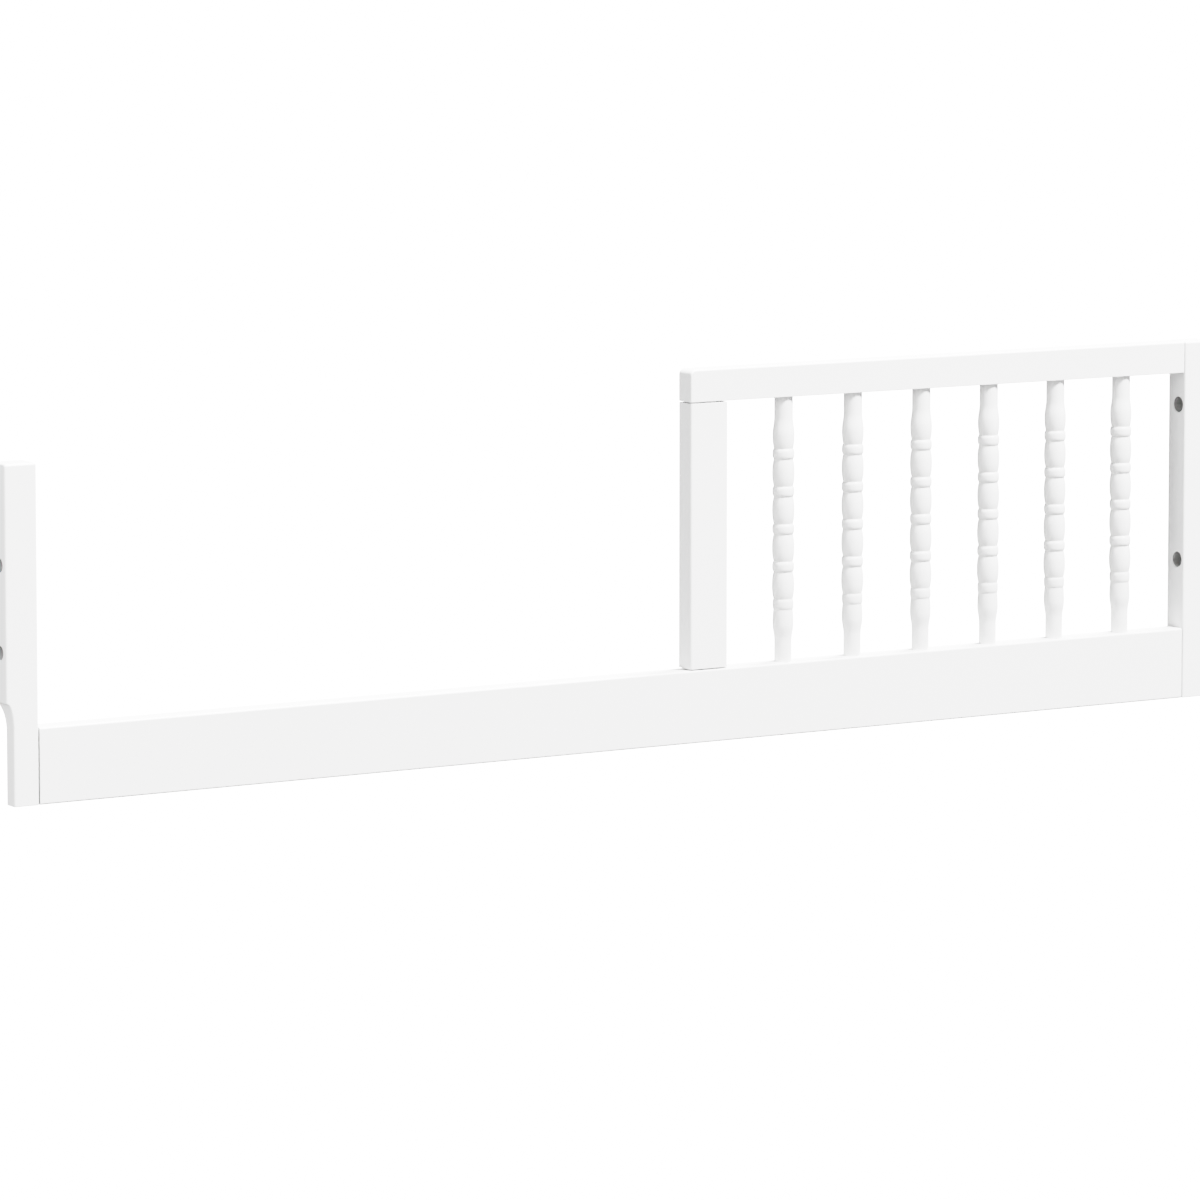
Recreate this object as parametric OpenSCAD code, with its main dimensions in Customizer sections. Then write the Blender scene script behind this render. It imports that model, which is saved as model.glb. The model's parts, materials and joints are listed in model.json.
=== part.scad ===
// Guard rail that closes the open side of a crib when it is used as a toddler bed.
// A low rail runs the full length, and a spindled guard stands on its right-hand part.
// Origin: bottom centre of the whole rail. +X runs along it to the right, the face
// towards the room is at -Y, and +Z is up.

/* [Overall] */
// Length over both posts
overall_len = 1330; // [1150:1:1500]
// Height of the guard, and of the post at its end
guard_h = 359; // [345:1:420]
// Height of the post at the open end
open_post_h = 310; // [260:1:340]
// Radius of the eased edges
edge_r = 2; // [1:0.5:2]

/* [Posts] */
// Width of a post along the rail
post_w = 32; // [30:1:50]
// Thickness of a post, front to back
post_t = 28; // [25:1:32]
// Radius of the corners at the top of a post
post_top_r = 2.5; // [2:0.5:6]
// How far the foot is cut in from the post's outer side
foot_side_cut = 7; // [4:0.5:8]
// Leg of the bevel on the foot's outer back corner
foot_bevel = 13; // [4:0.5:14]
// Height of the straight part of the foot
foot_h = 67; // [60:1:75]
// Height of the cove above the foot
cove_h = 27; // [15:1:35]

/* [Bolt holes] */
// Diameter of a bolt hole at the outer side
bolt_hole_d = 12.5; // [8:0.5:13]
// Diameter of the counterbore on the inner side
counterbore_d = 15.5; // [14:0.5:18]
// Depth of the counterbore
counterbore_depth = 14; // [8:1:16]
// Bevel at the mouth of the counterbore
mouth_bevel = 0.8; // [0.5:0.1:1]
// Height of the lower hole, the same in both posts
low_hole_z = 139; // [120:1:160]
// Height of the upper hole in the post at the open end
open_hole_z = 218; // [200:1:240]
// Height of the upper hole in the post at the guard
guard_hole_z = 295; // [270:1:320]

/* [Rails] */
// Thickness of the rails and of the stile
rail_t = 23; // [22:0.5:24]
// Height of the low rail
low_rail_h = 70.5; // [60:0.5:80]
// Height of the top rail
top_rail_h = 31.5; // [30:0.5:40]
// Radius of the top rail's free upper corner
rail_end_r = 6; // [4:1:14]
// Length of the guard, from the stile's outer side to the post
guard_len = 579; // [560:1:600]
// Width of the stile
stile_w = 41.5; // [36:0.5:50]

/* [Spindles] */
// Number of spindles
spindle_n = 6; // [6:1:7]
// Number of rings on each spindle
ring_n = 5; // [5:2:5]
// Distance from one ring to the next
ring_pitch = 36.4; // [34:0.2:37]
// Height of a ring
ring_h = 10.2; // [8:0.2:11]
// Diameter of the groove beside a ring
groove_d = 18.6; // [17:0.2:19]
// Diameter of a ring
ring_d = 21.2; // [20:0.2:22]
// Widest diameter between two rings
barrel_d = 21.6; // [20.6:0.2:22]
// Diameter at the upper end
head_neck_d = 18; // [16.4:0.2:18.4]
// Diameter at the lower end
foot_neck_d = 16.6; // [16.4:0.2:18.4]
// Length over which the end swelling grows from its groove
vase_rise = 13.4; // [12:0.2:15]
// Length over which the end swelling falls to its neck
vase_fall = 17; // [14:0.5:18]
// Diameter of the round tenon
tenon_d = 12; // [10:0.5:12]
// Length of the round tenon
tenon_len = 14; // [12:1:16]

/* [Dowels] */
// Diameter of the wooden dowels
dowel_d = 8; // [6:0.5:8]
// Depth of a dowel in a rail or in the stile
dowel_in_rail = 22; // [18:1:24]
// Depth of a dowel across the grain of a post or rail
dowel_in_side = 16; // [14:1:17]
// Glue gap around tenons and dowels
glue_gap = 0.1; // [0.05:0.05:0.15]

/* [Hidden] */
$fn = 64;
over = 1;                                  // cutters run this far past a face
front_y = -post_t / 2;                     // the common front face
hole_y = front_y + rail_t / 2;             // middle of the rails' thickness
inner_x = overall_len / 2 - post_w;        // inner side of the right post
stile_x = inner_x - guard_len;             // outer side of the stile
top_rail_z = guard_h - top_rail_h;
spindle_h = top_rail_z - low_rail_h;
mid_z = (low_rail_h + top_rail_z) / 2;

// The gap at each end of the spindle row is a little narrower than the pitch
end_gap = 70;
first_spindle_x = stile_x + stile_w + end_gap;
spindle_pitch = (inner_x - end_gap - first_spindle_x) / (spindle_n - 1);

// Dowel places: heights in the rails' ends, and offsets from the stile's middle
low_dowel_z = [low_rail_h * 0.25, low_rail_h * 0.75];
top_dowel_z = [top_rail_z + top_rail_h * 0.28, top_rail_z + top_rail_h * 0.72];
stile_dowel_dx = [-stile_w / 4, stile_w / 4];

// Swellings follow 1 - |u|^fullness, which is a little fuller than an arc
fullness = 2.4;
bead_steps = 6;
barrel_steps = 10;
fall_steps = 8;

SPINDLES = [for (k = [1 : spindle_n]) str("spindle_", k)];

paint = [0.95, 0.95, 0.94];
beech = [0.80, 0.65, 0.46];

// ---- Outlines ----

// Rectangle with all four corners rounded, its low corner at the origin
module rounded_rect(w, h, r) {
    translate([r, 0]) square([w - 2 * r, h]);
    translate([0, r]) square([w, h - 2 * r]);
    for (x = [r, w - r], y = [r, h - r]) translate([x, y]) circle(r);
}

// Rectangle with its two upper corners rounded
module rounded_top(w, h, r) {
    square([w, h - r]);
    translate([r, 0]) square([w - 2 * r, h]);
    for (x = [r, w - r]) translate([x, h - r]) circle(r);
}

// What is cut away beside a foot: straight up, then a quarter ellipse outwards
module foot_cutter(cut) {
    steps = 12;
    cove = [for (i = [0 : steps]) let (a = 90 * i / steps)
        [cut * cos(a), foot_h + cove_h * sin(a)]];
    polygon(concat([[-over, -over], [cut, -over]], cove, [[-over, foot_h + cove_h]]));
}

// Elevation of a post, with the foot cut in on the side at x = 0
module post_elevation(w, h, cut) {
    difference() {
        rounded_top(w, h, post_top_r);
        foot_cutter(cut);
    }
}

// ---- Spindle profile, as [radius, height] points ----

// Swelling from z0 to z1, over the part of it where u runs from u0 to u1
function swelling(z0, z1, end_d, mid_d, u0, u1, steps) =
    [for (i = [1 : steps]) let (u = u0 + (u1 - u0) * i / steps)
        [(end_d + (mid_d - end_d) * (1 - pow(abs(u), fullness))) / 2,
         z0 + (z1 - z0) * i / steps]];

// Smooth change of diameter, level at both ends
function easing(z0, z1, d0, d1) =
    [for (i = [1 : fall_steps]) [(d0 + (d1 - d0) * (1 - cos(180 * i / fall_steps)) / 2) / 2,
        z0 + (z1 - z0) * i / fall_steps]];

function ring_z(k) = mid_z + (k - (ring_n - 1) / 2) * ring_pitch;

// Rings with a barrel between each two, from the lowest groove to the highest
function rings_and_barrels() = [for (k = [0 : ring_n - 1])
    each concat(
        swelling(ring_z(k) - ring_h / 2, ring_z(k) + ring_h / 2,
            groove_d, ring_d, -1, 1, bead_steps),
        k == ring_n - 1 ? [] : swelling(ring_z(k) + ring_h / 2, ring_z(k + 1) - ring_h / 2,
            groove_d, barrel_d, -1, 1, barrel_steps))];

function spindle_profile() = let (
        foot_groove = ring_z(0) - ring_h / 2,
        head_groove = ring_z(ring_n - 1) + ring_h / 2,
        foot_bulge = foot_groove - vase_rise,
        head_bulge = head_groove + vase_rise)
    concat(
        [[0, low_rail_h - tenon_len], [tenon_d / 2, low_rail_h - tenon_len],
         [tenon_d / 2, low_rail_h], [foot_neck_d / 2, low_rail_h],
         [foot_neck_d / 2, foot_bulge - vase_fall]],
        easing(foot_bulge - vase_fall, foot_bulge, foot_neck_d, ring_d),
        swelling(foot_bulge, foot_groove, groove_d, ring_d, 0, 1, bead_steps),
        rings_and_barrels(),
        swelling(head_groove, head_bulge, groove_d, ring_d, -1, 0, bead_steps),
        easing(head_bulge, head_bulge + vase_fall, ring_d, head_neck_d),
        [[head_neck_d / 2, top_rail_z], [tenon_d / 2, top_rail_z],
         [tenon_d / 2, top_rail_z + tenon_len], [0, top_rail_z + tenon_len]]);

// ---- Holes and dowels ----

// Hole along +X or +Z from a face at the origin, to the given depth
module blind_hole(d, depth) {
    translate([0, 0, -over]) cylinder(d = d + 2 * glue_gap, h = depth + over + glue_gap);
}

module blind_hole_x(d, depth) { rotate([0, 90, 0]) blind_hole(d, depth); }

// Dowel along +Z with bevelled ends, its lower end at the origin
module dowel(len) {
    bevel = 1;
    cylinder(d1 = dowel_d - 2 * bevel, d2 = dowel_d, h = bevel);
    translate([0, 0, bevel]) cylinder(d = dowel_d, h = len - 2 * bevel);
    translate([0, 0, len - bevel]) cylinder(d1 = dowel_d, d2 = dowel_d - 2 * bevel, h = bevel);
}

// Bolt hole through a post from its outer side at x = 0
module bolt_hole() {
    rotate([0, 90, 0]) {
        translate([0, 0, -over]) cylinder(d = bolt_hole_d, h = post_w + 2 * over);
        translate([0, 0, post_w - counterbore_depth])
            cylinder(d = counterbore_d, h = counterbore_depth + over);
        translate([0, 0, post_w - mouth_bevel]) cylinder(d1 = counterbore_d,
            d2 = counterbore_d + 2 * (mouth_bevel + over), h = mouth_bevel + over);
    }
}

// ---- Posts ----

// Cutter for the vertical corner at the origin, to this depth along its diagonal
module corner_cutter(cut) {
    width = 60;
    rotate([0, 0, -45]) translate([0, width / 2, 0])
        rotate([90, 0, 0]) linear_extrude(width) foot_cutter(cut);
}

// Post with its outer side at x = 0 and its inner side towards +X
module post(h, upper_hole_z, dowel_places) {
    color(paint) difference() {
        intersection() {
            translate([0, front_y, 0]) linear_extrude(h) rounded_rect(post_w, post_t, edge_r);
            translate([0, -front_y, 0]) rotate([90, 0, 0])
                linear_extrude(post_t) post_elevation(post_w, h, foot_side_cut);
            rotate([90, 0, 90]) linear_extrude(post_w)
                translate([front_y, 0]) rounded_top(post_t, h, post_top_r);
        }
        translate([0, -front_y, 0]) corner_cutter((foot_side_cut + foot_bevel) / sqrt(2));
        for (z = [low_hole_z, upper_hole_z]) translate([0, hole_y, z]) bolt_hole();
        for (p = dowel_places) translate([post_w, p.x, p.y])
            mirror([1, 0, 0]) blind_hole_x(dowel_d, dowel_in_side);
    }
}

module left_post() {
    translate([-overall_len / 2, 0, 0])
        post(open_post_h, open_hole_z, [for (z = low_dowel_z) [hole_y, z]]);
}

module right_post() {
    places = concat([for (z = low_dowel_z) [hole_y, z]],
        [for (z = top_dowel_z) [hole_y, z]]);
    mirror([1, 0, 0]) translate([-overall_len / 2, 0, 0])
        post(guard_h, guard_hole_z, places);
}

// ---- Rails and stile ----

// Bar along +X with its long edges eased, its front face in the common front plane
module bar(len, h) {
    rotate([90, 0, 90]) linear_extrude(len)
        translate([front_y, 0]) rounded_rect(rail_t, h, edge_r);
}

// Runs a child at each spindle's axis, at the given height
module at_spindles(z) {
    for (k = [0 : spindle_n - 1])
        translate([first_spindle_x + k * spindle_pitch, hole_y, z]) children();
}

// Runs a child at each dowel of the stile, at the given height
module at_stile_dowels(z) {
    for (dx = stile_dowel_dx) translate([stile_x + stile_w / 2 + dx, hole_y, z]) children();
}

module low_rail() {
    color(paint) difference() {
        translate([-inner_x, 0, 0]) bar(2 * inner_x, low_rail_h);
        at_spindles(low_rail_h) mirror([0, 0, 1]) blind_hole(tenon_d, tenon_len);
        at_stile_dowels(low_rail_h) mirror([0, 0, 1]) blind_hole(dowel_d, dowel_in_side);
        for (side = [0, 1], z = low_dowel_z) mirror([side, 0, 0])
            translate([-inner_x, hole_y, z]) blind_hole_x(dowel_d, dowel_in_rail);
    }
}

module top_rail() {
    color(paint) difference() {
        intersection() {
            translate([stile_x, 0, top_rail_z]) bar(guard_len, top_rail_h);
            translate([stile_x, -front_y, top_rail_z]) rotate([90, 0, 0])
                linear_extrude(post_t) {
                    square([guard_len, top_rail_h - rail_end_r]);
                    translate([rail_end_r, 0]) square([guard_len - rail_end_r, top_rail_h]);
                    translate([rail_end_r, top_rail_h - rail_end_r]) circle(rail_end_r);
                }
        }
        at_spindles(top_rail_z) blind_hole(tenon_d, tenon_len);
        at_stile_dowels(top_rail_z) blind_hole(dowel_d, dowel_in_side);
        for (z = top_dowel_z) translate([inner_x, hole_y, z])
            mirror([1, 0, 0]) blind_hole_x(dowel_d, dowel_in_rail);
    }
}

module guard_stile() {
    color(paint) difference() {
        translate([stile_x, front_y, low_rail_h])
            linear_extrude(spindle_h) rounded_rect(stile_w, rail_t, edge_r);
        at_stile_dowels(low_rail_h) blind_hole(dowel_d, dowel_in_rail);
        at_stile_dowels(top_rail_z) mirror([0, 0, 1]) blind_hole(dowel_d, dowel_in_rail);
    }
}

module spindle(k) {
    color(paint) translate([first_spindle_x + (k - 1) * spindle_pitch, hole_y, 0])
        rotate_extrude() polygon(spindle_profile());
}

// ---- Dowel groups ----

dowel_len = dowel_in_rail + dowel_in_side;

module left_rail_dowels() {
    color(beech) for (z = low_dowel_z)
        translate([-inner_x - dowel_in_side, hole_y, z]) rotate([0, 90, 0])
            dowel(dowel_len);
}

module right_rail_dowels() { mirror([1, 0, 0]) left_rail_dowels(); }

module top_rail_dowels() {
    color(beech) for (z = top_dowel_z)
        translate([inner_x - dowel_in_rail, hole_y, z]) rotate([0, 90, 0]) dowel(dowel_len);
}

module stile_head_dowels() {
    color(beech) at_stile_dowels(top_rail_z - dowel_in_rail) dowel(dowel_len);
}

module stile_foot_dowels() {
    color(beech) at_stile_dowels(low_rail_h - dowel_in_side) dowel(dowel_len);
}

left_post();
right_post();
low_rail();
top_rail();
guard_stile();
for (k = [1 : spindle_n]) spindle(k);
left_rail_dowels();
right_rail_dowels();
top_rail_dowels();
stile_head_dowels();
stile_foot_dowels();
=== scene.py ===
import json
import math

import bmesh
import bpy
import numpy as np
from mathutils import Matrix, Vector


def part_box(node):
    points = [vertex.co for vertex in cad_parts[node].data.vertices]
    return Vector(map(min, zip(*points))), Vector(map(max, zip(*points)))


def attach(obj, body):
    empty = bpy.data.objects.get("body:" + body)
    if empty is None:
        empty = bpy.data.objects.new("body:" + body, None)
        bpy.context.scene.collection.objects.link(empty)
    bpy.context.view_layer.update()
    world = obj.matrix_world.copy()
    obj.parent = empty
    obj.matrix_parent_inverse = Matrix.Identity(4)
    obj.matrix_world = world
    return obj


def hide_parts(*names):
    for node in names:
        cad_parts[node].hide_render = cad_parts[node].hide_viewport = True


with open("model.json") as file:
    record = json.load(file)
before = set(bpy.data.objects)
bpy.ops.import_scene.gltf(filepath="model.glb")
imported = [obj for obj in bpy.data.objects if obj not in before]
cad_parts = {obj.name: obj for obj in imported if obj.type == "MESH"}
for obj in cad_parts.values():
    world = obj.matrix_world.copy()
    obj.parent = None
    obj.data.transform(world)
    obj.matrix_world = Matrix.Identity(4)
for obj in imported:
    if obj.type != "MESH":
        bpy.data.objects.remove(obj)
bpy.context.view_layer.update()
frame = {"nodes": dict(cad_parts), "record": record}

# ---- Sizes, in metres ----
# The places come from the CAD frame. What a node's box can't give is repeated here.

MM = 0.001
EDGE = 2 * MM                # eased long edges
UNDER_EDGE = 0.7 * MM        # long edges under the top rail, which are crisper
CORNER_LEFT = 0.3            # least part of EDGE that a corner keeps where a section shrinks
END_EASE = 0.3 * MM          # edges at a joint
JOINT_GAP = 1.0 * MM         # width of the fine dark groove round a joint
JOINT_DEPTH = 3.5 * MM       # depth of that groove, down to the core that meets the next piece
SUPPORT = 0.25 * MM          # distance of the row that keeps a flat face flat
ARC = np.linspace(0, math.pi / 2, 7)
WELD = 1e-6                  # points closer than this are one point
ON_FACE = 1e-6               # a point this close to a face lies on it

FOOT_SIDE_CUT = 7 * MM
FOOT_BEVEL = 13 * MM         # leg of the bevel on the foot's outer back corner
FOOT_HEIGHT = 67 * MM
COVE_HEIGHT = 27 * MM
COVE_LEFT = 0.11             # part of the cut that is left where the edge over the cove rounds off
POST_TOP_ROUND = 2.5 * MM
FOOT_EASE = 0.8 * MM
RAIL_END_ROUND = 6 * MM      # the top rail's free upper corner
RAIL_END_EASE = 1.5 * MM     # the upright edges of that end

COUNTERBORE_RADIUS = 7.75 * MM
COUNTERBORE_DEPTH = 14 * MM
COUNTERBORE_BEVEL = 0.8 * MM
HOLE_EASE = 0.4 * MM
PATCH = 8.8 * MM             # half width of the square of face round a bolt hole
PATCH_STEPS = 16

RINGS = 5
RING_PITCH = 36.4 * MM
RING_HEIGHT = 10.2 * MM
GROOVE_RADIUS = 9.3 * MM
RING_RADIUS = 10.6 * MM
LOW_RING_RADIUS = 10.1 * MM  # the lowest ring and the vase under it are a little slimmer
BARREL_RADIUS = 10.8 * MM
HEAD_NECK_RADIUS = 9 * MM
FOOT_NECK_RADIUS = 8.3 * MM
NECK_EASE = 0.35 * MM
VASE_RISE = 13.4 * MM        # from a vase's crest to the groove beside it
VASE_FALL = 17 * MM          # from a vase's crest to its neck
TENON_RADIUS = 6 * MM
TENON_BEVEL = 1 * MM
FULLNESS = 2.4               # power of a barrel's curve: a higher one is squarer
RING_FULLNESS = 3.2
TURN_STEPS = 80

# ---- Finishes and light ----

GRAIN_ALONG_X = (9, 420, 420)
GRAIN_ALONG_Z = (420, 420, 9)
WHITE = (0.82, 0.82, 0.817, 1)
WHITE_SHADE = (0.79, 0.79, 0.785, 1)
# colour in the spindles' grooves: partly pooled paint, partly painted shade
WHITE_POOLED_AND_SHADED = (0.74, 0.74, 0.73, 1)
# primer inside bolt holes and joint grooves, darkened as painted shade in those recesses
PRIMER_AND_RECESS_SHADE = (0.31, 0.31, 0.305, 1)
PRIMER_AND_RECESS_SHADE_MOTTLE = (0.23, 0.23, 0.225, 1)
BEECH_FLECK = (0.55, 0.38, 0.22, 1)
BEECH = (0.74, 0.57, 0.38, 1)
FLOOR_COLOUR = (0.05, 0.05, 0.05, 1)
PURE_WHITE_COLOUR = (1, 1, 1, 1)

CAMERA_AZIMUTH = -30.82      # degrees, from square on
CAMERA_ELEVATION = 5.42
CAMERA_AIM = (-0.0305, 0.0132, 0.3704)
CAMERA_DISTANCE = 5.85
LENS, SENSOR_WIDTH, SHIFT = 185.5, 36.0, -0.2

SURROUND = 0.6               # strength of the surround as light
PURE_WHITE = 18.0            # strength of the surround and floor as the camera sees them
LIGHT_AIM = (0, 0, 0.2)
SOFTBOXES = (                # name, place, size and watts
    ("key", (2.3, -4.0, 6.6), 1.5, 5250),
    ("side", (-2.4, -0.7, 0.9), 0.9, 80),
    ("overhead", (1.0, 0.3, 3.8), 0.5, 1100),
)
FLOOR_LEVEL = -0.3
FLOOR_HALF = 6.0


def ranges(node):
    """The node's x, y and z ranges, as three pairs."""
    low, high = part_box(node)
    return tuple(zip(low, high))


# ---- Surfaces ----


class Surface:
    """Grids and flat ends gathered into one mesh, welded where their borders meet."""

    def __init__(self):
        self.points, self.faces, self.slots, self.count = [], [], [], 0

    def _take(self, points):
        index = self.count + np.arange(len(points))
        self.points.append(points)
        self.count += len(points)
        return index

    def grid(self, points, keep=None, inward=False, slot=0):
        """Joins each ring of points to the next. The last point of a ring joins its first.

        `points` is (ring, point, 3). `keep` marks the faces to make, `inward` turns them round,
        and `slot` is the place of their material in the piece's list.
        """
        rings, width = points.shape[:2]
        here = self._take(points.reshape(-1, 3)).reshape(rings, width)
        ahead = np.roll(here, -1, axis=1)
        quads = np.stack([here[:-1], ahead[:-1], ahead[1:], here[1:]], axis=-1)
        quads = quads.reshape(-1, 4) if keep is None else quads[keep]
        self.faces += (quads[:, ::-1] if inward else quads).tolist()
        self.slots += [slot] * len(quads)

    def end(self, ring, lower, slot=0):
        """Closes a ring with one flat face. `lower` is true at the start of a run of rings."""
        index = self._take(ring).tolist()
        self.faces.append(index[::-1] if lower else index)
        self.slots.append(slot)

    def closed_grid(self, points, **options):
        """A grid with both of its ends closed flat."""
        self.grid(points, **options)
        self.end(points[0], lower=True)
        self.end(points[-1], lower=False)

    def jointed_grid(self, points, near_joint=True):
        """A closed grid with a joint at its far end, and at its near end unless told otherwise.

        The groove round a joint is its last two rows of faces. It is lined with the dark primer, as
        is the end, which paints the shade in the groove.
        """
        start = 2 if near_joint else 0
        self.grid(points[start:-2])
        self.grid(points[-3:], slot=1)
        self.end(points[-1], lower=False, slot=1)
        if near_joint:
            self.grid(points[:3], slot=1)
        self.end(points[0], lower=True, slot=int(near_joint))

    def piece(self, name, materials):
        """Makes the object, smooth, with its materials in the order of their slots."""
        mesh = bpy.data.meshes.new(name)
        mesh.from_pydata(np.concatenate(self.points).tolist(), [], self.faces)
        mesh.polygons.foreach_set("material_index", self.slots)
        for material in materials:
            mesh.materials.append(material)
        work = bmesh.new()
        work.from_mesh(mesh)
        bmesh.ops.remove_doubles(work, verts=work.verts, dist=WELD)
        work.to_mesh(mesh)
        work.free()
        mesh.polygons.foreach_set("use_smooth", [True] * len(mesh.polygons))
        thing = bpy.data.objects.new(name, mesh)
        bpy.context.scene.collection.objects.link(thing)
        return thing


def margin(length):
    """Fractions of a side's length that put one point close to each of its ends."""
    return np.array([SUPPORT / length, 1 - SUPPORT / length])


def sections(turns, reach, radii, between):
    """Rounded polygons, one for each station, as (station, point, 2).

    Side k lies at reach[k] from the origin, square to the direction turns[k], in degrees. It is
    joined to the next side by an arc about the point where the two would cross if both were
    moved in by radii[k]. `between` lists, for each side, the fractions of its straight run
    that have a point. The polygon is anticlockwise.
    """
    angles = np.radians(turns)
    arcs = []
    for k, start in enumerate(angles):
        after = (k + 1) % len(angles)
        stop = start + (angles[after] - start) % (2 * math.pi)
        radius = radii[k]
        here, there = reach[k] - radius, reach[after] - radius
        crossing = [
            (here * math.sin(stop) - there * math.sin(start)) / math.sin(stop - start),
            (there * math.cos(start) - here * math.cos(stop)) / math.sin(stop - start),
        ]
        sweep = np.linspace(start, stop, 7 if stop - start > 1 else 4)
        arcs.append(np.stack([
            crossing[0][:, None] + radius[:, None] * np.cos(sweep),
            crossing[1][:, None] + radius[:, None] * np.sin(sweep),
        ], axis=-1))
    run = []
    for k, arc in enumerate(arcs):
        start, stop = arcs[k - 1][:, -1:], arc[:, :1]
        run += [start + (stop - start) * np.asarray(between[k])[:, None], arc]
    return np.concatenate(run, axis=1)


def rectangles(u_low, u_high, v_low, v_high, radii):
    """Rounded rectangles, one for each station: the side at low v first, then high u."""
    sizes = [float(np.max(u_high - u_low)), float(np.max(v_high - v_low))]
    return sections(
        (-90, 0, 90, 180), (-v_low, u_high, v_high, -u_low), radii,
        [margin(size) for size in sizes] * 2)


def along_z(rings, z):
    """Rings of (x, y), each at its own height."""
    height = np.broadcast_to(z[:, None], rings.shape[:2])
    return np.stack([rings[..., 0], rings[..., 1], height], axis=-1)


def along_x(rings, x):
    """Rings of (y, z), each at its own place along X."""
    place = np.broadcast_to(x[:, None], rings.shape[:2])
    return np.stack([place, rings[..., 0], rings[..., 1]], axis=-1)


def eased_end(radius):
    """How far in a section lies, and how far along, as it grows from an end over a quarter circle.

    The first row is inside the flat end, and the last one just past the rounding.
    """
    inset = radius * (1 - np.sin(ARC))
    advance = radius * (1 - np.cos(ARC))
    return (
        np.concatenate([[radius + SUPPORT], inset, [0]]),
        np.concatenate([[0], advance, [radius + SUPPORT]]),
    )


def joint_end():
    """Inset and advance of an end at a joint: a core, the groove round it, then the eased edge."""
    inset, advance = eased_end(END_EASE)
    return (
        np.concatenate([[JOINT_DEPTH, JOINT_DEPTH], inset]),
        np.concatenate([[0, JOINT_GAP], JOINT_GAP + advance]),
    )


def softened(inset):
    """Radius of a section's corners where the section has shrunk by an inset."""
    return np.maximum(EDGE - inset, CORNER_LEFT * EDGE)


# ---- Rails and stile ----


def plain_bar(surface, run, u_range, v_range, place):
    """A bar: one rounded rectangle carried along a straight line, drawn in at both joints.

    `run` is its range along its length, and `place` sets its direction.
    """
    inset, advance = joint_end()
    along = np.concatenate([run[0] + advance, (run[1] - advance)[::-1]])
    inset = np.concatenate([inset, inset[::-1]])
    rings = rectangles(
        u_range[0] + inset, u_range[1] - inset,
        v_range[0] + inset, v_range[1] - inset, [softened(inset)] * 4)
    surface.jointed_grid(place(rings, along))


def top_rail_surface():
    """The top rail. Its free end is rounded over the top by a quarter circle.

    Near that end the section's top follows height = top - R + sqrt(R^2 - (R - x)^2), and its
    front and back draw in over a smaller quarter circle.
    """
    (x0, x1), (y0, y1), (z0, z1) = ranges("top_rail")
    surface = Surface()
    side_inset, advance = eased_end(RAIL_END_EASE)
    start_angle = math.acos(1 - (RAIL_END_EASE + SUPPORT) / RAIL_END_ROUND)
    angle = np.linspace(start_angle, math.pi / 2, 14)[1:]
    end_inset, end_advance = joint_end()

    near = np.concatenate([
        advance, RAIL_END_ROUND * (1 - np.cos(angle)), [RAIL_END_ROUND + SUPPORT]])
    reach = np.clip(RAIL_END_ROUND - near, 0, None)
    drop = RAIL_END_ROUND - np.sqrt(RAIL_END_ROUND ** 2 - reach ** 2)
    drop[0] += SUPPORT
    plain = np.zeros(len(near) - len(side_inset))
    side = np.concatenate([side_inset, plain, end_inset[::-1]])
    top = np.concatenate([drop, end_inset[::-1]])
    under = np.concatenate([side_inset * END_EASE / RAIL_END_EASE, plain, end_inset[::-1]])
    along = np.concatenate([x0 + near, (x1 - end_advance)[::-1]])

    upper = softened(side)
    lower = np.minimum(upper, UNDER_EDGE)
    rings = rectangles(
        y0 + side, y1 - side, z0 + under, z1 - top, [lower, upper, upper, lower])
    surface.jointed_grid(along_x(rings, along), near_joint=False)
    return surface


def low_rail_surface():
    """The low rail: one plain bar along X."""
    x_range, y_range, z_range = ranges("low_rail")
    surface = Surface()
    plain_bar(surface, x_range, y_range, z_range, along_x)
    return surface


def stile_surface():
    """The stile: one plain bar along Z."""
    x_range, y_range, z_range = ranges("guard_stile")
    surface = Surface()
    plain_bar(surface, z_range, x_range, y_range, along_z)
    return surface


# ---- Posts ----


def foot_rows():
    """Heights and how much of the foot's cut is left at each, from 1 at the foot to 0 above it.

    The cove is a quarter ellipse: the cut shrinks with the cosine of an angle while the height
    grows with its sine. The sharp edge over the cove is rounded by a parabola.
    """
    angle = np.linspace(0, math.acos(COVE_LEFT), 26)
    cove = FOOT_HEIGHT + COVE_HEIGHT * np.sin(angle)
    t = np.linspace(0, 1, 6)[1:]
    top = FOOT_HEIGHT + COVE_HEIGHT
    over = (1 - t) ** 2 * cove[-1] + 2 * t * (1 - t) * top + t ** 2 * (top + FOOT_EASE)
    return (
        np.concatenate([[FOOT_HEIGHT - SUPPORT], cove, over]),
        np.concatenate([[1], np.cos(angle), COVE_LEFT * (1 - t) ** 2]),
    )


def post_rows(height, hole_heights):
    """Every station of a post: its height, its inset at the ends, and what is left of the cut."""
    foot_inset, foot_advance = eased_end(FOOT_EASE)
    top_inset, top_advance = eased_end(POST_TOP_ROUND)
    cove, cut = foot_rows()
    patches = [z + PATCH * np.linspace(-1, 1, PATCH_STEPS + 1) for z in hole_heights]
    plain = np.concatenate([[cove[-1] + SUPPORT]] + patches)
    z = np.concatenate([foot_advance, cove, plain, (height - top_advance)[::-1]])
    inset = np.concatenate([foot_inset, np.zeros(len(cove) + len(plain)), top_inset[::-1]])
    cut = np.concatenate([
        np.ones(len(foot_advance)), cut, np.zeros(len(plain) + len(top_advance))])
    return z, inset, cut


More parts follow.
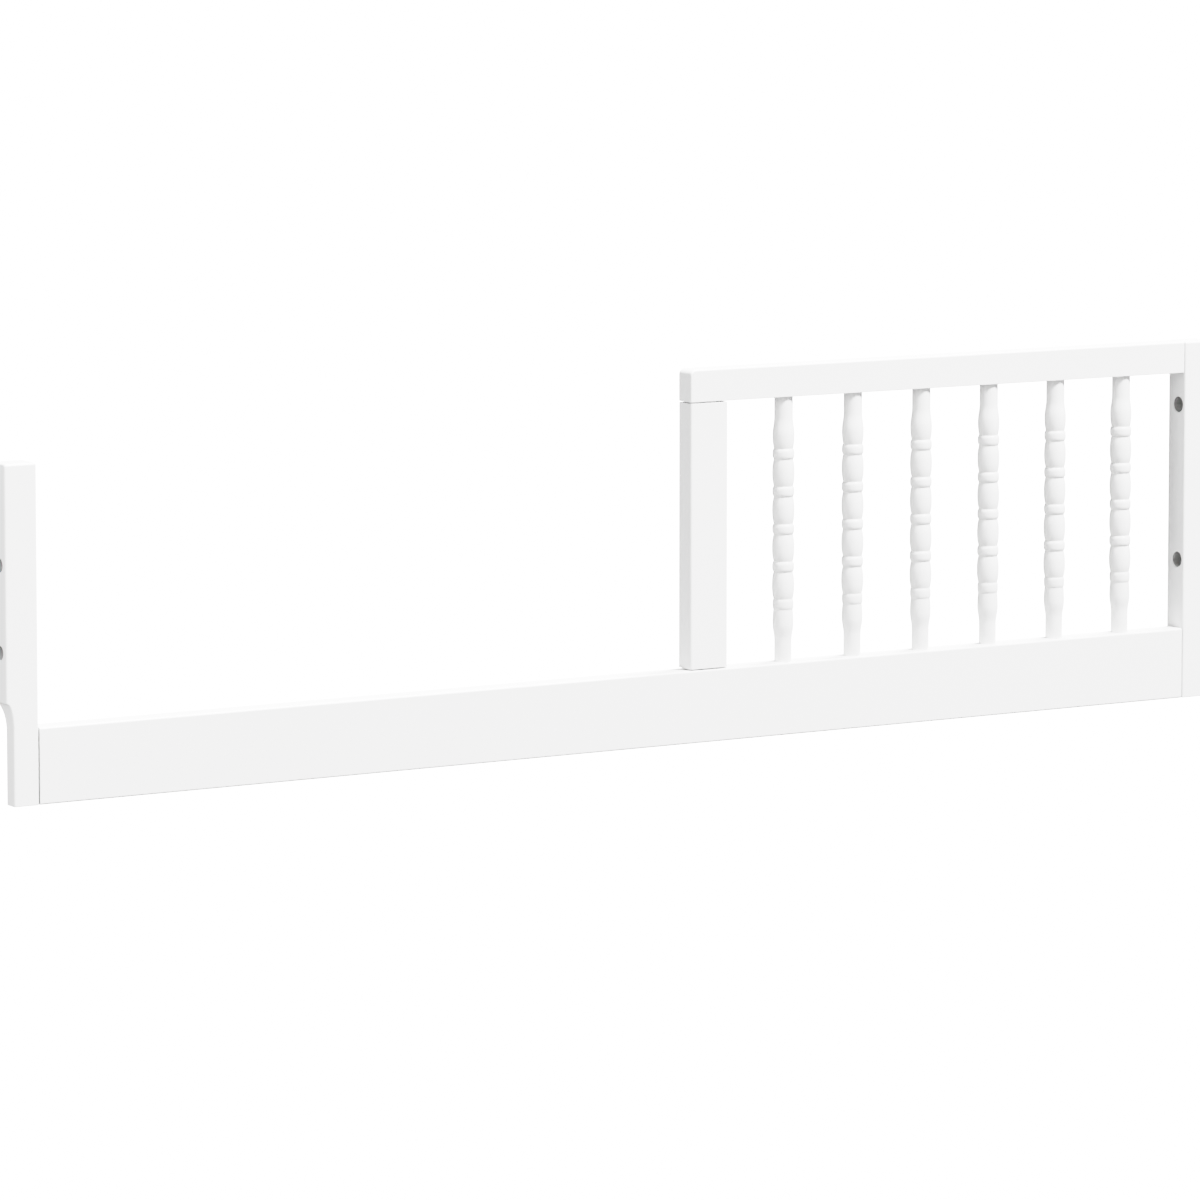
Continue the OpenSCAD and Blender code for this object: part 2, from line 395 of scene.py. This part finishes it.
def hole_profile(width, radius):
    """Depth and radius of each ring of a bolt hole, and how many rings its painted mouth has.

    The depth is from the outer face, which is where the bolt enters.
    The hole has an eased mouth, a plain bore, a step, a wider counterbore and its bevel.
    """
    step = width - COUNTERBORE_DEPTH
    mouth = HOLE_EASE * (1 - np.sin(ARC[::2]))
    depth = HOLE_EASE * (1 - np.cos(ARC[::2]))
    inner = width - COUNTERBORE_BEVEL
    wide = COUNTERBORE_RADIUS
    depths = [*depth, HOLE_EASE + SUPPORT, step - SUPPORT, step, step, step, step,
              step + SUPPORT, inner - SUPPORT, inner, width]
    radii = [*(radius + mouth), radius, radius, radius, radius + SUPPORT, wide - SUPPORT, wide,
             wide, wide, wide, wide + COUNTERBORE_BEVEL]
    return np.array(depths), np.array(radii), len(mouth)


def bolt_hole(surface, outer_x, inner_x, y, z, radius):
    """Lines one bolt hole and joins it to the square of face left open at each end.

    A ring is the circle of points (radius cos a, radius sin a) about the hole's axis. On each
    face, points run in straight lines from that circle to the square's border.
    """
    run = np.linspace(-1, 1, PATCH_STEPS + 1)[:-1]
    one = np.ones(PATCH_STEPS)
    square = np.stack([
        np.concatenate([run, one, -run, -one]), np.concatenate([-one, run, one, -run])])
    circle = square / np.hypot(*square)

    depth, radii, painted = hole_profile(abs(inner_x - outer_x), radius)
    blend = np.array([1, 0.5])[:, None, None]
    mouth, rim = (blend * PATCH * square + (1 - blend) * r * circle for r in (radii[0], radii[-1]))
    walls = radii[:, None, None] * circle
    rings = np.concatenate([mouth, walls, rim[::-1]])
    depth = np.concatenate([[0, 0], depth, [depth[-1]] * 2])

    x = outer_x + np.sign(inner_x - outer_x) * depth
    centred = np.stack([rings[:, 0] + y, rings[:, 1] + z], axis=-1)
    points = along_x(centred, x)
    first_wall, last_wall = 2 + painted, len(x) - 4
    rightward = inner_x > outer_x
    # the bore's wall takes slot 1, the dark primer that paints the shade inside the hole
    for start, stop, slot in (
        (0, first_wall, 0), (first_wall, last_wall, 1), (last_wall, len(x) - 1, 0),
    ):
        surface.grid(points[start:stop + 1], inward=rightward, slot=slot)


def post_surface(node, mount):
    """A post: rounded rectangles carried up Z, with the foot cut in and two bolt holes.

    Its outer side moves in by the side cut, and the bevel's side by that and the bevel, times
    what is left of the cut at each height.
    """
    (x0, x1), (y0, y1), (_, height) = ranges(node)
    left = mount["axis"][0] < 0
    half_gap = mount["dims"]["spacing_y_mm"] * MM / 2
    hole_y = mount["pos_m"][1]
    hole_heights = [mount["pos_m"][2] - half_gap, mount["pos_m"][2] + half_gap]

    z, inset, cut = post_rows(height, hole_heights)
    radius = softened(inset)
    side_cut = FOOT_SIDE_CUT * cut
    span = (y1 - y0) - 2 * EDGE
    columns = hole_y + PATCH * np.linspace(-1, 1, PATCH_STEPS + 1)
    rising = np.append((columns - y0 - EDGE) / span, 1 - SUPPORT / span)
    plain, bevel = margin(x1 - x0), margin(FOOT_BEVEL)

    # The bevel's side reaches as far as the rounded corner does, except where it is cut
    low_x = x0 + inset + (side_cut if left else 0)
    high_x = x1 - inset - (0 if left else side_cut)
    back = y1 - inset
    root = math.sqrt(2)
    corner = (back + (-low_x if left else high_x)) / root - radius * (root - 1)
    deepest = (FOOT_SIDE_CUT + FOOT_BEVEL) / root
    diagonal = np.minimum(corner, (y1 + (-x0 if left else x1)) / root - deepest * cut - inset)
    if left:
        turns = (-90, 0, 90, 135, 180)
        reach = (-y0 - inset, high_x, back, diagonal, -low_x)
        between = (plain, rising, plain, bevel, 1 - rising[::-1])
    else:
        turns = (-90, 0, 45, 90, 180)
        reach = (-y0 - inset, high_x, diagonal, back, -low_x)
        between = (plain, rising, bevel, plain, 1 - rising[::-1])
    rings = sections(turns, reach, [radius] * 5, between)
    points = along_z(rings, z)

    middle = (points[:-1] + points[1:]) / 2
    middle = (middle + np.roll(middle, -1, axis=1)) / 2
    on_side = np.minimum(abs(middle[..., 0] - x0), abs(middle[..., 0] - x1)) < ON_FACE
    in_patch = abs(middle[..., 1] - hole_y) < PATCH
    at_hole = np.min([abs(middle[..., 2] - h) for h in hole_heights], axis=0) < PATCH

    surface = Surface()
    surface.closed_grid(points, keep=~(on_side & in_patch & at_hole))
    outer, inner = (x0, x1) if left else (x1, x0)
    for hole_z in hole_heights:
        bolt_hole(surface, outer, inner, hole_y, hole_z, mount["dims"]["hole_r_mm"] * MM)
    return surface


# ---- Spindles ----


def swelling(z0, z1, end, crest, power, u0=-1, u1=1, steps=36):
    """Radius end + (crest - end)(1 - |u|^power) as u runs from u0 to u1 over the height."""
    u = np.linspace(u0, u1, steps + 1)[1:]
    z = z0 + (z1 - z0) * np.linspace(0, 1, steps + 1)[1:]
    return end + (crest - end) * (1 - abs(u) ** power), z


def easing(z0, z1, r0, r1, steps=24):
    """Radius that changes along half a cosine wave, level at both ends."""
    t = np.linspace(0, 1, steps + 1)[1:]
    return r0 + (r1 - r0) * (1 - np.cos(math.pi * t)) / 2, z0 + (z1 - z0) * t


def shoulder(z, neck, outward):
    """The end of a neck: a flat shoulder, a small rounding and the start of the neck.

    `outward` is +1 where the shoulder faces up, and the rows then run from the neck to the tenon.
    """
    radius = np.concatenate([
        [TENON_RADIUS, TENON_RADIUS + SUPPORT], neck - NECK_EASE * (1 - np.sin(ARC)), [neck]])
    height = np.concatenate([[0, 0], NECK_EASE * (1 - np.cos(ARC)), [NECK_EASE + SUPPORT]])
    return (radius, z + height) if outward < 0 else (radius[::-1], (z - height)[::-1])


def spindle_profile(bottom, top, low_shoulder, high_shoulder):
    """Radius and height of a spindle from one tenon to the other, and the depth of its grooves.

    The depth is 0 at a ring's radius and 1 at a groove's, and 0 outside the turned part.
    """
    middle = (low_shoulder + high_shoulder) / 2
    ring = middle + (np.arange(RINGS) - (RINGS - 1) / 2) * RING_PITCH
    below, above = ring - RING_HEIGHT / 2, ring + RING_HEIGHT / 2
    foot_crest, head_crest = below[0] - VASE_RISE, above[-1] + VASE_RISE

    turned = [
        swelling(foot_crest, below[0], GROOVE_RADIUS, LOW_RING_RADIUS, FULLNESS, u0=0, steps=20)]
    for k in range(RINGS):
        crest = RING_RADIUS if k else LOW_RING_RADIUS
        turned.append(swelling(below[k], above[k], GROOVE_RADIUS, crest, RING_FULLNESS, steps=24))
        if k < RINGS - 1:
            turned.append(swelling(above[k], below[k + 1], GROOVE_RADIUS, BARREL_RADIUS, FULLNESS))
    turned.append(
        swelling(above[-1], head_crest, GROOVE_RADIUS, RING_RADIUS, FULLNESS, u1=0, steps=20))

    parts = [
        (np.array([TENON_RADIUS - TENON_BEVEL, TENON_RADIUS]), bottom + np.array([0, TENON_BEVEL])),
        shoulder(low_shoulder, FOOT_NECK_RADIUS, outward=-1),
        easing(foot_crest - VASE_FALL, foot_crest, FOOT_NECK_RADIUS, LOW_RING_RADIUS),
        *turned,
        easing(head_crest, head_crest + VASE_FALL, RING_RADIUS, HEAD_NECK_RADIUS),
        shoulder(high_shoulder, HEAD_NECK_RADIUS, outward=1),
        (np.array([TENON_RADIUS, TENON_RADIUS - TENON_BEVEL]), top - np.array([TENON_BEVEL, 0])),
    ]
    radius, height = (np.concatenate(column) for column in zip(*parts))
    in_turning = (height > foot_crest) & (height < head_crest)
    # this depth later darkens the paint in the grooves, as pooled paint and painted shade
    depth = np.clip((RING_RADIUS - radius) / (RING_RADIUS - GROOVE_RADIUS), 0, 1) * in_turning
    return radius, height, depth


def spindle_surface(node):
    """A spindle: its profile turned about its own axis, as (radius cos a, radius sin a)."""
    (x0, x1), (y0, y1), (z0, z1) = ranges(node)
    low_shoulder = ranges("low_rail")[2][1]
    high_shoulder = ranges("top_rail")[2][0]
    radius, height, depth = spindle_profile(z0, z1, low_shoulder, high_shoulder)
    angle = np.linspace(0, 2 * math.pi, TURN_STEPS, endpoint=False)
    rings = radius[:, None, None] * np.stack([np.cos(angle), np.sin(angle)], axis=-1)
    rings = rings + np.array([(x0 + x1) / 2, (y0 + y1) / 2])
    surface = Surface()
    surface.closed_grid(along_z(rings, height))
    return surface, height, depth


# ---- Shader maths ----


class Wire:
    """A value on its way between nodes. Arithmetic on it adds Math nodes to its material."""

    def __init__(self, finish, socket):
        self.finish, self.socket = finish, socket

    def _math(self, operation, first, second):
        return self.finish.node("ShaderNodeMath", {"operation": operation}, {0: first, 1: second})

    def __add__(self, other):
        return self._math("ADD", self, other)

    def __sub__(self, other):
        return self._math("SUBTRACT", self, other)

    def __rsub__(self, other):
        return self._math("SUBTRACT", other, self)

    def __mul__(self, other):
        return self._math("MULTIPLY", self, other)

    __radd__, __rmul__ = __add__, __mul__


class Finish:
    """A material being built. Every node comes from node()."""

    def __init__(self, name):
        self.material = bpy.data.materials.new(name)
        self.material.use_nodes = True
        self.tree = self.material.node_tree
        self.shader = self.tree.nodes["Principled BSDF"]

    def node(self, kind, settings=None, sockets=None, out=0):
        """Adds a node of this kind, sets it up, feeds its sockets and gives back one output."""
        made = self.tree.nodes.new(kind)
        for name, value in (settings or {}).items():
            if name == "stops":
                for stop, (place, colour) in zip(made.color_ramp.elements, value):
                    stop.position, stop.color = place, colour
            else:
                setattr(made, name, value)
        self._feed(made, sockets or {})
        return Wire(self, made.outputs[out])

    def _feed(self, node, sockets):
        for name, value in sockets.items():
            if isinstance(value, Wire):
                self.tree.links.new(value.socket, node.inputs[name])
            else:
                node.inputs[name].default_value = value

    def set(self, **sockets):
        """Sets the shader's own sockets. An underscore in a name stands for a space."""
        self._feed(
            self.shader, {name.replace("_", " "): value for name, value in sockets.items()})

    def place(self, stretch=(1, 1, 1)):
        """The object's coordinates, stretched along each axis."""
        coordinates = self.node("ShaderNodeTexCoord", out="Object")
        return self.node(
            "ShaderNodeVectorMath", {"operation": "MULTIPLY"}, {0: coordinates, 1: stretch})

    def noise(self, place, scale, detail=2.0, roughness=0.5):
        """Noise between about 0 and 1, with so many waves to the metre."""
        return self.node("ShaderNodeTexNoise", None, {
            "Vector": place, "Scale": scale, "Detail": detail, "Roughness": roughness})

    def mix(self, factor, first, second):
        """A colour between two others."""
        made = self.node("ShaderNodeMix", {"data_type": "RGBA"}, None, out=2)
        self._feed(made.socket.node, {0: factor, 6: first, 7: second})
        return made

    def bump(self, height, depth):
        """A normal from a height map that is this deep."""
        return self.node(
            "ShaderNodeBump", None, {"Strength": 1.0, "Distance": depth, "Height": height})


# ---- Finishes ----


def white_paint(name, grain):
    """Satin paint over planed wood: faint grain, orange peel, and grooves darker as pooled paint
    and painted shade.
    """
    finish = Finish(name)
    cloud = finish.noise(finish.place(), 14.0, detail=3.0)
    pores = finish.noise(finish.place(grain), 1.0, detail=4.0, roughness=0.65)
    peel = finish.noise(finish.place(), 620.0, detail=1.0)
    # the groove depth darkens the colour in the grooves: pooled paint and painted shade
    pooled_and_shaded = finish.node("ShaderNodeAttribute", {"attribute_name": "groove"}, out="Fac")
    base = finish.mix(cloud * 0.6 + pores * 0.25, WHITE, WHITE_SHADE)
    finish.set(
        Base_Color=finish.mix(pooled_and_shaded * 0.7, base, WHITE_POOLED_AND_SHADED),
        Roughness=0.34 + cloud * 0.08 + pores * 0.06 - pooled_and_shaded * 0.05,
        Normal=finish.bump(pores * 0.6 + peel * 0.4, 0.00006),
        IOR=1.48,
    )
    return finish.material


def primed_bore_and_shade_finish():
    """The inside of a bolt hole or a joint: a thin grey coat of primer over cut wood, made darker
    as painted shade in these recesses.
    """
    finish = Finish("drilled_primer")
    rings = finish.noise(finish.place((2200, 120, 120)), 1.0, detail=2.0)
    dust = finish.noise(finish.place(), 900.0, detail=2.0)
    finish.set(
        Base_Color=finish.mix(rings * 0.6 + dust * 0.3, PRIMER_AND_RECESS_SHADE, PRIMER_AND_RECESS_SHADE_MOTTLE),
        Roughness=0.62 + dust * 0.15,
        Normal=finish.bump(rings, 0.00008),
    )
    return finish.material


def bare_beech():
    """Bare beech for the dowels: long fine flecks over a warm ground."""
    finish = Finish("bare_beech")
    fleck = finish.noise(finish.place((700, 700, 700)), 1.0, detail=4.0, roughness=0.7)
    ground = finish.noise(finish.place(), 60.0, detail=2.0)
    colour = finish.node(
        "ShaderNodeValToRGB", {"stops": [(0.3, BEECH_FLECK), (0.7, BEECH)]},
        {0: fleck * 0.6 + ground * 0.4})
    finish.set(Base_Color=colour, Roughness=0.6 + fleck * 0.15, Normal=finish.bump(fleck, 0.00005))
    return finish.material


# ---- Scene ----


def add_camera():
    """A long lens, from the front left and a little above."""
    azimuth, elevation = math.radians(CAMERA_AZIMUTH), math.radians(CAMERA_ELEVATION)
    back = np.array([
        math.sin(azimuth) * math.cos(elevation),
        -math.cos(azimuth) * math.cos(elevation),
        math.sin(elevation),
    ])
    data = bpy.data.cameras.new("camera")
    data.lens, data.sensor_width, data.shift_y = LENS, SENSOR_WIDTH, SHIFT
    camera = bpy.data.objects.new("camera", data)
    camera.location = np.array(CAMERA_AIM) + back * CAMERA_DISTANCE
    camera.rotation_euler = (math.pi / 2 - elevation, 0, azimuth)
    bpy.context.scene.collection.objects.link(camera)
    bpy.context.scene.camera = camera


def add_softbox(name, place, size, watts):
    """A square area light that faces the rail."""
    data = bpy.data.lights.new(name, "AREA")
    data.size, data.energy = size, watts
    light = bpy.data.objects.new(name, data)
    light.location = place
    light.rotation_euler = (light.location - Vector(LIGHT_AIM)).to_track_quat("Z", "Y").to_euler()
    bpy.context.scene.collection.objects.link(light)


def add_light():
    """An even white surround, and the softboxes."""
    world = bpy.data.worlds.new("white_surround")
    world.use_nodes = True
    nodes, links = world.node_tree.nodes, world.node_tree.links
    seen, level = nodes.new("ShaderNodeLightPath"), nodes.new("ShaderNodeMapRange")
    level.inputs["To Min"].default_value = SURROUND
    level.inputs["To Max"].default_value = PURE_WHITE
    links.new(seen.outputs["Is Camera Ray"], level.inputs["Value"])
    links.new(level.outputs["Result"], nodes["Background"].inputs["Strength"])
    nodes["Background"].inputs["Color"].default_value = PURE_WHITE_COLOUR
    bpy.context.scene.world = world
    for softbox in SOFTBOXES:
        add_softbox(*softbox)


def add_floor():
    """A plain pale floor, at the height of a crib's legs below the rail.

    It looks evenly white to the camera, but gives back little of the light that it gets.
    """
    finish = Finish("pale_floor")
    finish.set(Base_Color=FLOOR_COLOUR, Roughness=0.9)
    seen = finish.node("ShaderNodeLightPath")
    white = finish.node(
        "ShaderNodeEmission", None, {"Color": PURE_WHITE_COLOUR, "Strength": PURE_WHITE})
    pale = Wire(finish, finish.shader.outputs["BSDF"])
    both = finish.node("ShaderNodeMixShader", None, {0: seen, 1: pale, 2: white})
    finish.tree.links.new(both.socket, finish.tree.nodes["Material Output"].inputs["Surface"])
    half = FLOOR_HALF
    corners = [(-half, -half), (half, -half), (half, half), (-half, half)]
    mesh = bpy.data.meshes.new("floor")
    mesh.from_pydata([(x, y, FLOOR_LEVEL) for x, y in corners], [], [(0, 1, 2, 3)])
    mesh.materials.append(finish.material)
    floor = bpy.data.objects.new("floor", mesh)
    bpy.context.scene.collection.objects.link(floor)


def add_piece(surface, node, materials):
    """Puts a finished piece in the place of its CAD node."""
    piece = surface.piece(f"{node}_painted", materials)
    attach(piece, "root")
    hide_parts(node)
    return piece


# ---- The rail ----

paint_x = white_paint("white_paint_rails", GRAIN_ALONG_X)
paint_z = white_paint("white_paint_uprights", GRAIN_ALONG_Z)
primer_and_recess_shade = primed_bore_and_shade_finish()
beech = bare_beech()
mounts = {mount["name"]: mount for mount in frame["record"]["mounts"]}

add_camera()
# slot 1 is the dark primer: painted shade in the joint grooves and bolt holes
add_piece(low_rail_surface(), "low_rail", [paint_x, primer_and_recess_shade])
add_piece(top_rail_surface(), "top_rail", [paint_x, primer_and_recess_shade])
add_piece(stile_surface(), "guard_stile", [paint_z, primer_and_recess_shade])
add_piece(post_surface("left_post", mounts["left_bolts"]), "left_post", [paint_z, primer_and_recess_shade])
add_piece(post_surface("right_post", mounts["right_bolts"]), "right_post", [paint_z, primer_and_recess_shade])

for node in sorted(name for name in frame["nodes"] if name.startswith("spindle_")):
    surface, heights, depths = spindle_surface(node)
    spindle = add_piece(surface, node, [paint_z])
    points = np.empty(len(spindle.data.vertices) * 3)
    spindle.data.vertices.foreach_get("co", points)
    # groove depth at each point, which darkens the paint there as pooled paint and painted shade
    groove = spindle.data.attributes.new("groove", "FLOAT", "POINT")
    groove.data.foreach_set("value", np.interp(points[2::3], heights, depths))

for name, node in frame["nodes"].items():
    if name.endswith("_dowels"):
        node.data.materials.clear()
        node.data.materials.append(beech)

add_light()
add_floor()
bpy.context.scene.view_settings.view_transform = "Filmic"
